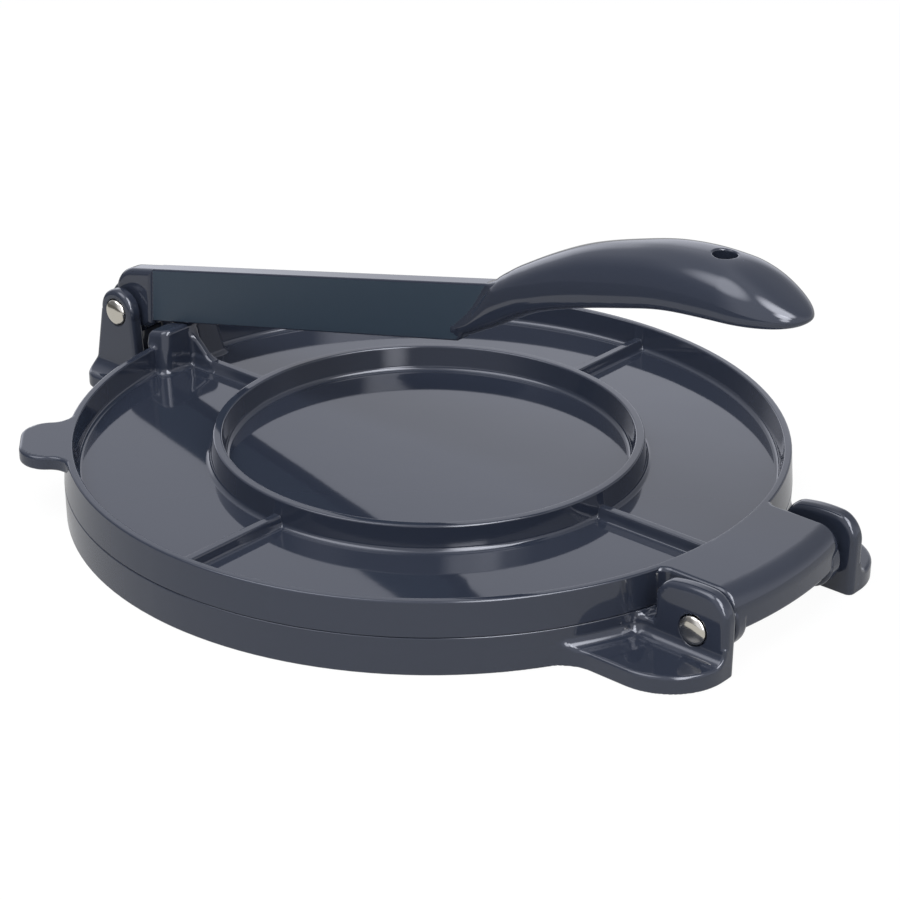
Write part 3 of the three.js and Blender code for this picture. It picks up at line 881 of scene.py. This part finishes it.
def tongue_and_bar_field(u, side, v):
    """A round hub and nose that run into a beam, and the thinner bar behind a leaning step."""
    step = ((u - step_u) - (v - bar_under) * step_lean) * STEP_SCALE
    height = slab(v, bar_under, bar_top)
    bar = common(height, -step - bar_lap, lap_edge)
    bar = np.maximum(bar, (u - grip_start - bar_lap - (v - bar_under)) * SLANT_SCALE)
    bar = common(bar, side - bar_half, bar_edge)
    hub = np.hypot(u, v) - hub_radius
    nose = np.hypot(u - nose_u, v - nose_v) - nose_radius
    beam = np.maximum(height, nose_u - u)
    outline = common(np.minimum(np.minimum(hub, nose), beam), step, step_edge)
    return np.minimum(common(outline, side - tongue_half, tongue_edge), bar)


def lever_field(u, y, v):
    """Tongue, bar and grip as one casting, with the pivot's bore and the hanging hole."""
    seam = np.clip(seam_low + (v - bar_under) * seam_growth, seam_low, seam_high)
    solid = joined(tongue_and_bar_field(u, np.abs(y), v), grip_field(u, y, v), seam)
    solid = np.maximum(solid, bore_radius - np.hypot(u, v))
    along = (u - hole_u) * math.cos(TILT) - (v - hole_v) * math.sin(TILT)
    return common(solid, hole_radius - np.hypot(along, y), hole_edge)


print("The bar is", bar_top - bar_under, "mm high and", 2 * bar_half, "mm thick")

# %% [markdown]
# One even grid could hold the whole lever, but it would be several times as large. So it is
# fine only where the shape changes quickly: at the tongue, at the root of the grip and round
# the hole. The finished skin is then tilted and put on the pivot.


# %% Skin of the lever
def stretches(*limits):
    """Even steps over several stretches, each (start, stop, step)."""
    return np.concatenate([np.arange(*limit) for limit in limits])


def tilted(surface):
    """From the lever's own frame to the object's: turned by the tilt and put on the pivot."""
    points, faces, normals = surface
    c, s = math.cos(TILT), math.sin(TILT)
    turn = np.array([[c, 0, s], [0, 1, 0], [-s, 0, c]])
    return points @ turn + np.array([pivot_x, 0, pivot_z]), faces, normals @ turn


tongue_us = grid_steps(-9.5, 134.0, 2.0, 0.4, range(-8, 15, 2))
root_and_hole_us = stretches((131, 155, 0.4), (155, 217, 0.65), (217, 230, 0.35), (230, 251, 0.65))
bar_ys = grid_steps(-4.2, 4.21, 0.5, 0.25, (-3.2, -2.6, 2.6, 3.2), 0.7)
bar_vs = grid_steps(-9.5, 14.5, 0.5, 0.35, (-8, -4.2, 8.2, 11, 12.5))
lever_skin = skin(
    lever_field,
    np.concatenate([tongue_us[tongue_us < 131], root_and_hole_us]),
    np.concatenate([stretches((-13.5, -4.2, 0.6)), bar_ys, stretches((4.6, 13.9, 0.6))]),
    np.concatenate([bar_vs, stretches((15.0, 19.0, 0.6), (19.2, 26.5, 0.35))]),
)
lever_casting = put("lever_casting", [tilted(lever_skin)])

# %% [markdown]
# Each pin is a steel rod headed over at both ends into a low dome. A cylinder and two flat
# spheres could stand for it, but one profile of rod, head and dome, carried round the pin's
# axis, is closed and has a true edge under its head.

# %% Pins
PIN_COLUMNS = 48
DOME_ROWS = 14
rod_radius = 3.0
head_side, head_chamfer = 0.5, 0.15
dome_height, dome_power = 1.4, 0.8


def pin_surface(x, z, outer):
    """A rod along y whose heads sit in faces at -outer and outer, with a dome on each.
    The dome's radius is the head's times cos(t)^p while its height goes with sin(t)."""
    seat = outer - head_recess + head_gap
    t = np.linspace(0, math.pi / 2, DOME_ROWS)
    dome_radius = head_radius * np.cos(t) ** dome_power
    dome = np.stack([dome_radius, seat + head_side + dome_height * np.sin(t)], axis=1)
    under_head = [[rod_radius, 0.0], [rod_radius, seat], [head_radius - head_chamfer, seat],
                  [head_radius, seat + head_chamfer]]
    half = np.concatenate([under_head, dome[:-1]])
    rows = np.concatenate([half[::-1] * [1, -1], half[1:]])
    angle = np.arange(PIN_COLUMNS) * 2 * math.pi / PIN_COLUMNS
    px, pz = rows[:, :1] * np.cos(angle), rows[:, :1] * np.sin(angle)
    py = np.repeat(rows[:, 1:], PIN_COLUMNS, axis=1)
    tips = [[x, -dome[-1, 1], z], [x, dome[-1, 1], z]]
    points = np.concatenate([np.stack([x + px, py, z + pz], axis=-1).reshape(-1, 3), tips])
    faces = shell_faces(*px.shape)
    return points, faces, mean_normals(points, faces)


hinge_rivet = put("hinge_rivet", [pin_surface(hinge_x, hinge_z, ear_outer)])
lever_rivet = put("lever_rivet", [pin_surface(pivot_x, pivot_z, bracket_half)])

# %% [markdown]
# Finishes, floor and surround are built from shader nodes. They could be clicked together in
# the Shader Editor, but a script can be run again. Its helpers keep the code short: each adds
# a node, sets its values and links what feeds it.


# %% Helpers for shader nodes
def linear(hex_colour):
    """sRGB hex to linear red, green, blue and 1."""
    values = [int(hex_colour[i:i + 2], 16) / 255 for i in (1, 3, 5)]
    return [v / 12.92 if v <= 0.04045 else ((v + 0.055) / 1.055) ** 2.4 for v in values] + [1.0]


def add_node(tree, kind, sockets, **settings):
    """Adds a node and sets its properties. A socket takes a plain value, or a link where it is
    given a source, which is a pair of another node and its output."""
    node = tree.nodes.new(kind)
    for key, value in settings.items():
        setattr(node, key, value)
    for key, value in sockets.items():
        if isinstance(value, tuple) and isinstance(value[0], bpy.types.Node):
            tree.links.new(value[0].outputs[value[1]], node.inputs[key])
        else:
            node.inputs[key].default_value = value
    return node


def math_node(tree, operation, *values):
    """A Math node on numbers or sources."""
    return add_node(tree, "ShaderNodeMath", dict(enumerate(values)), operation=operation), "Value"


def new_material(name):
    """A material without nodes, and its tree."""
    material = bpy.data.materials.new(name)
    material.use_nodes = True
    material.node_tree.nodes.clear()
    return material, material.node_tree


print("Mid grey #808080 is", round(linear("#808080")[0], 3), "in linear light")

# %% [markdown]
# Every finish here is a Principled surface over fine noise as a bump. An image could carry the
# grain, but it needs a UV map. Noise in the object's own space needs none.


# %% Surfaces with a relief
def noise(tree, scale, detail):
    """Noise over the object's own space, with about as many waves to the metre as its scale."""
    place = add_node(tree, "ShaderNodeTexCoord", {})
    sockets = {"Scale": scale, "Detail": detail, "Vector": (place, "Object")}
    return add_node(tree, "ShaderNodeTexNoise", sockets), "Fac"


def with_relief(material, tree, relief, looks, strength, depth):
    """A Principled surface with these looks over a bump: the relief's height times its depth."""
    bump = add_node(
        tree, "ShaderNodeBump", {"Strength": strength, "Distance": depth, "Height": relief})
    shader = add_node(tree, "ShaderNodeBsdfPrincipled", {**looks, "Normal": (bump, "Normal")})
    add_node(tree, "ShaderNodeOutputMaterial", {"Surface": (shader, "BSDF")})
    return material


print("A scale of 160 makes waves about", round(1000 / 160, 1), "mm long")

# %% [markdown]
# The castings carry one coat of navy enamel, thick enough to level out. It could be a rough
# base under a clear coat, but no rougher layer shows. So it is one smooth dielectric with a
# fine orange peel on waves a few centimetres long.


# %% Navy enamel
def navy_enamel():
    """Stoved enamel, nearly mirror smooth: an eighth of fine peel on a full share of long waves."""
    material, tree = new_material("navy_enamel")
    peel = noise(tree, scale=160.0, detail=2.0)
    wave = noise(tree, scale=32.0, detail=1.0)
    relief = math_node(tree, "MULTIPLY_ADD", peel, 0.12, wave)
    looks = {"Base Color": linear("#343a48"), "Roughness": 0.06, "IOR": 1.58}
    return with_relief(material, tree, relief, looks, strength=0.1, depth=0.0004)


enamel = navy_enamel()
print("Made", enamel.name)

# %% [markdown]
# On the flat sides of the lever the coat looks duller and a little greener, because these faces
# mirror a darker, greener part of the room. That reflection is painted into their colour. A mask
# could mix both looks in one material, but the sides are whole flat faces, so they get their own.


# %% Enamel with a painted reflection
def painted_reflection_enamel():
    """The same coat, rough enough to blur reflections, with a teal grey as painted reflection."""
    material, tree = new_material("painted_reflection_enamel")
    # The teal grey is painted reflection: the darker, greener room that the lever's flat sides mirror
    looks = {"Base Color": linear("#3a4855"), "Roughness": 0.42, "IOR": 1.38}
    grain = noise(tree, scale=420.0, detail=3.0)
    return with_relief(material, tree, grain, looks, strength=0.15, depth=0.0003)


painted_reflection = painted_reflection_enamel()
print("Made", painted_reflection.name)

# %% [markdown]
# The pins are steel with a thin plate of nickel, a warm and light metal. A grey dielectric
# could look like it in one light only. With Metallic at 1 the base colour tints what the heads
# mirror, and a fine grain softens it.


# %% Nickel plate
def nickel_plate():
    """Nickel over steel: polished metal with a faint grain."""
    material, tree = new_material("nickel_plate")
    looks = {"Base Color": linear("#d9d4c8"), "Metallic": 1.0, "Roughness": 0.12}
    grain = noise(tree, scale=700.0, detail=3.0)
    return with_relief(material, tree, grain, looks, strength=0.08, depth=0.0002)


nickel = nickel_plate()
print("Made", nickel.name)

# %% [markdown]
# Each skin now stands for its solid: it takes a finish, moves with the solid's body and hides
# it. The faces with the painted reflection could be picked by hand in Edit Mode. Here they are
# found by measure: they look straight sideways and lie no further out than the bar's sides.

# %% Finishes and bodies of the pieces
FLAT_FACING = 0.995
FLAT_MARGIN = 0.05
pieces = {
    "base_plate": (base_casting, "base", "enamelled_casting", enamel),
    "top_plate": (top_casting, "upper_plate", "enamelled_casting", enamel),
    "lever": (lever_casting, "lever", "enamelled_casting", enamel),
    "hinge_pin": (hinge_rivet, "base", "nickel_pin", nickel),
    "lever_pin": (lever_rivet, "base", "nickel_pin", nickel),
}
for node, (piece, body, slot_name, material) in pieces.items():
    piece.data.materials.append(material)
    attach(piece, body)
    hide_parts(node)


def coat_flat_sides(mesh, material, half):
    """Gives a second material to the faces with |normal y| near 1 and |centre y| below half."""
    facing, middle = (np.zeros(3 * len(mesh.polygons), dtype=np.float32) for _ in range(2))
    mesh.polygons.foreach_get("normal", facing)
    mesh.polygons.foreach_get("center", middle)
    flat = (np.abs(facing[1::3]) > FLAT_FACING) & (np.abs(middle[1::3]) < half)
    mesh.materials.append(material)
    mesh.polygons.foreach_set("material_index", flat.astype(np.int32))
    return int(flat.sum())


# The lever's flat sides take the coat whose colour is a painted reflection
flat_faces = coat_flat_sides(lever_casting.data, painted_reflection, (bar_half + FLAT_MARGIN) * MM)
print("Faces with the satin coat:", flat_faces)

# %% [markdown]
# The studio is a white room with one dark side. An HDR image could light it, but a script that
# stands alone has none. So the room is stated by direction: an azimuth that runs from the
# front, -y, towards +x, and an elevation. Camera, mirrored and diffuse rays each get their own
# level, so that the background can be white while the enamel mirrors a darker room.


# %% Directions, steps and kinds of ray
def heading(azimuth, elevation):
    """The unit vector of an azimuth and an elevation in degrees."""
    a, e = math.radians(azimuth), math.radians(elevation)
    return math.sin(a) * math.cos(e), -math.cos(a) * math.cos(e), math.sin(e)


def dot_with(tree, source, vector):
    """The dot product of a source with a fixed vector."""
    node = add_node(tree, "ShaderNodeVectorMath", {0: source, 1: vector}, operation="DOT_PRODUCT")
    return node, "Value"


def blend(tree, share, low, high):
    """low + share (high - low), for numbers or sources."""
    return add_node(tree, "ShaderNodeMix", {0: share, 2: low, 3: high}), 0


def soft_step(tree, value, start, stop, low, high):
    """low before start, high after stop, and a smooth step between them."""
    sockets = {0: value, 1: start, 2: stop, 3: low, 4: high}
    return add_node(tree, "ShaderNodeMapRange", sockets, interpolation_type="SMOOTHSTEP"), "Result"


def ray_kinds(tree):
    """Is the ray from the camera, and is it from the camera, a reflection or a refraction?"""
    path = add_node(tree, "ShaderNodeLightPath", {})
    camera_ray = (path, "Is Camera Ray")
    seen = math_node(tree, "MAXIMUM", camera_ray, (path, "Is Glossy Ray"))
    return camera_ray, math_node(tree, "MAXIMUM", seen, (path, "Is Transmission Ray"))


print("The front is towards", heading(0, 0))

# %% [markdown]
# The press stands on matt white that runs on into the background without an edge. A shadow
# catcher could do that too, but it needs a composite. So the floor glows where the camera sees
# it, and the matt share that is left takes a soft shadow.

# %% White floor
DARK_SIDE = -52
FLOOR_SHADE = (0.205, 0.225)
# The glow's level and share, in reflections near the press and past the shade, and as it is seen
MIRRORED_LEVELS, SEEN_LEVEL = (0.6, 0.12), 1.04
MIRRORED_SHARES, SEEN_SHARE = (0.8, 1.0), 0.92
FLOOR_REACH = 4.0
FLOOR_DROP = 0.0002


def white_floor():
    """A matt white floor that is white to the camera and still takes a soft shadow.
    In reflections it ends a hand's width from the press on the dark side."""
    material, tree = new_material("white_floor")
    camera_ray, seen = ray_kinds(tree)
    place = add_node(tree, "ShaderNodeTexCoord", {})
    along = dot_with(tree, (place, "Object"), heading(DARK_SIDE, 0))
    mirrored_level = soft_step(tree, along, *FLOOR_SHADE, *MIRRORED_LEVELS)
    mirrored_share = soft_step(tree, along, *FLOOR_SHADE, *MIRRORED_SHARES)
    level = blend(tree, camera_ray, mirrored_level, SEEN_LEVEL)
    share = blend(tree, seen, 0.0, blend(tree, camera_ray, mirrored_share, SEEN_SHARE))
    matt = add_node(tree, "ShaderNodeBsdfDiffuse", {"Color": linear("#f8f8f8")})
    glow = add_node(tree, "ShaderNodeEmission", {"Color": (1, 1, 1, 1), "Strength": level})
    mix = add_node(tree, "ShaderNodeMixShader", {0: share, 1: (matt, "BSDF"), 2: (glow, "Emission")})
    add_node(tree, "ShaderNodeOutputMaterial", {"Surface": (mix, "Shader")})
    return material


floor_mesh = bpy.data.meshes.new("studio_floor")
floor_corners = [(FLOOR_REACH * x, FLOOR_REACH * y, 0) for x, y in ((-1, -1), (1, -1), (1, 1), (-1, 1))]
floor_mesh.from_pydata(floor_corners, [], [(0, 1, 2, 3)])
floor = bpy.data.objects.new("studio_floor", floor_mesh)
floor_mesh.materials.append(white_floor())
bpy.context.collection.objects.link(floor)
floor.location.z = -FLOOR_DROP
print("The floor is", 2 * FLOOR_REACH, "m wide")

# %% [markdown]
# A glossy enamel mostly shows what stands round it: here a dark side at the left and soft
# windows, most of them at the right. Cards and lamps could stand there, but a soft spot of the
# surround needs only a direction and a width. Dim spots multiply the plain level of the room,
# and bright ones add to it.

# %% Surround
# Each spot: azimuth, elevation, inner and outer radius in degrees, and its factor or its level
DIM_SPOTS = (
    (DARK_SIDE, 3, 15, 55, 0.22),
    (168, 40, 12, 45, 0.5),
    (-100, 44, 8, 32, 0.72),
)
BRIGHT_SPOTS = (
    (-116, 9, 6, 20, 0.9),
    (-150, 12, 5, 20, 0.45),
    (-26, 60, 10, 26, 3.2),
    (60, 18, 4, 12, 7.0),
    (66, 38, 5, 16, 9.0),
    (86, 58, 8, 22, 7.5),
)
PLAIN_LEVEL = 0.97
MATT_LEVEL = 0.25
COOL_WHITE = (0.94, 0.96, 1.06, 1.0)


def soft_spot(tree, place, azimuth, elevation, inner, outer, outside, inside):
    """A value that goes smoothly from outside to inside about a direction."""
    toward = dot_with(tree, place, heading(azimuth, elevation))
    edge, core = math.cos(math.radians(outer)), math.cos(math.radians(inner))
    return soft_step(tree, toward, edge, core, outside, inside)


def white_room():
    """A world that is white to the camera, holds the spots in reflections, and is dim to the rest."""
    world = bpy.data.worlds.new("white_room")
    world.use_nodes = True
    tree = world.node_tree
    tree.nodes.clear()
    camera_ray, seen = ray_kinds(tree)
    place = (add_node(tree, "ShaderNodeTexCoord", {}), "Generated")
    surround = PLAIN_LEVEL
    for *spot, share in DIM_SPOTS:
        surround = math_node(tree, "MULTIPLY", surround, soft_spot(tree, place, *spot, 1.0, share))
    for *spot, extra in BRIGHT_SPOTS:
        surround = math_node(tree, "ADD", surround, soft_spot(tree, place, *spot, 0.0, extra))
    level = blend(tree, seen, MATT_LEVEL, blend(tree, camera_ray, surround, 1.0))
    sockets = {0: camera_ray, 6: COOL_WHITE, 7: (1, 1, 1, 1)}
    tint = add_node(tree, "ShaderNodeMix", sockets, data_type="RGBA")
    sky = add_node(tree, "ShaderNodeBackground", {"Color": (tint, 2), "Strength": level})
    add_node(tree, "ShaderNodeOutputWorld", {"Surface": (sky, "Background")})
    return world


bpy.context.scene.world = white_room()
print("Spots in the surround:", len(DIM_SPOTS), "dim and", len(BRIGHT_SPOTS), "bright")

# %% [markdown]
# Two softboxes light the floor and throw the soft shadow. The surround could do it alone, but
# its shadow has no direction. The enamel would mirror their hard corners, so reflections don't
# see the lamps, and the surround's spots stand for them there.


# %% Lamps
def softbox(name, azimuth, elevation, size, radiance, distance=1.5):
    """A rectangular lamp in a direction, turned to the press. Power = pi x area x radiance."""
    data = bpy.data.lights.new(name, "AREA")
    data.shape = "RECTANGLE"
    data.size, data.size_y = size
    data.energy = math.pi * size[0] * size[1] * radiance
    lamp = bpy.data.objects.new(name, data)
    bpy.context.collection.objects.link(lamp)
    away = np.array(heading(azimuth, elevation))
    side = np.cross([0, 0, 1.0], away)
    side /= np.linalg.norm(side)
    placed(lamp, [side, np.cross(away, side), away], away * distance)
    lamp.visible_glossy = False
    print(name, "gives", round(data.energy, 2), "W")


softbox("top_softbox", 0, 65, size=(1.2, 1.0), radiance=4.1)
softbox("right_softbox", 80, 40, size=(0.8, 0.9), radiance=1.6)

# %% [markdown]
# At the end the view transform is set to Standard, because AgX or Filmic would grey the white.
# The skins may not be larger than the solids.

# %% Finish
bpy.context.scene.view_settings.view_transform = "Standard"
